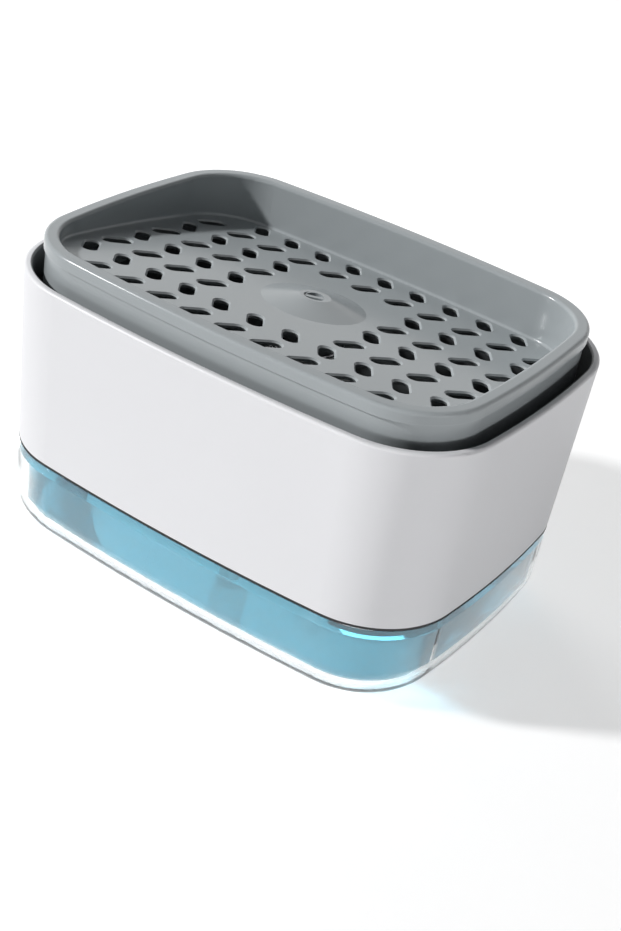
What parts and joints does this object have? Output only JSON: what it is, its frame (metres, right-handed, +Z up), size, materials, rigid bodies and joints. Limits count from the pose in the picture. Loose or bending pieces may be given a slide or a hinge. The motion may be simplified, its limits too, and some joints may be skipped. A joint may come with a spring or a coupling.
{
  "type": "soap pump caddy",
  "caption": "Free-standing soap pump caddy: pressing the slotted sponge tray pumps soap from a clear reservoir up through the tray's nozzle; pump deck lifts out of the white sleeve to refill.",
  "frame": {"origin": "middle of the flat base, on the surface that the caddy stands on", "axes": "+X along the long side, +Z up, front towards -Y; the tray's floor falls towards +Y"},
  "size_m": [0.14, 0.104, 0.084],
  "materials": {
    "clear_tub": "clear, polished",
    "seam_black": "matte",
    "shell_white": "satin",
    "tray_grey": "satin",
    "deck_grey": "satin",
    "seal_silicone": "matte",
    "pump_white": "satin",
    "pump_natural": "milky",
    "valve_steel": "polished"
  },
  "bodies": {
    "container": {"reservoir": "clear_tub", "seam_gasket": "seam_black", "outer_shell": "shell_white"},
    "pump_deck": {"inner_deck": "deck_grey", "deck_seal": "seal_silicone", "pump_gasket": "seal_silicone", "pump_cylinder": "pump_natural", "inlet_cage": "pump_natural", "dip_tube": "pump_natural", "stem_guide": "pump_white", "pump_closure": "pump_white", "return_spring": "valve_steel"},
    "press_tray": {"tray": "tray_grey", "nozzle": "tray_grey", "piston_stem": "pump_white", "piston": "pump_natural", "stem_foot": "pump_white"},
    "suction_valve": {"inlet_ball": "valve_steel"},
    "outlet_valve": {"outlet_ball": "valve_steel"}
  },
  "joints": [
    {"name": "refill_lift", "type": "slide", "parent": "container", "child": "pump_deck", "axis": [0, 0, 1], "range_m": [0, 0.07]},
    {"name": "press", "type": "slide", "parent": "pump_deck", "child": "press_tray", "axis": [0, 0, 1], "range_m": [-0.007, 0], "stiffness_N_per_m": 1500, "springref_m": 0.006, "deforming": ["return_spring"]},
    {"name": "suction_valve_lift", "type": "slide", "parent": "pump_deck", "child": "suction_valve", "axis": [0, 0, 1], "range_m": [0, 0.0014]},
    {"name": "outlet_valve_lift", "type": "slide", "parent": "press_tray", "child": "outlet_valve", "axis": [0, 0, 1], "range_m": [0, 0.0014]}
  ]
}
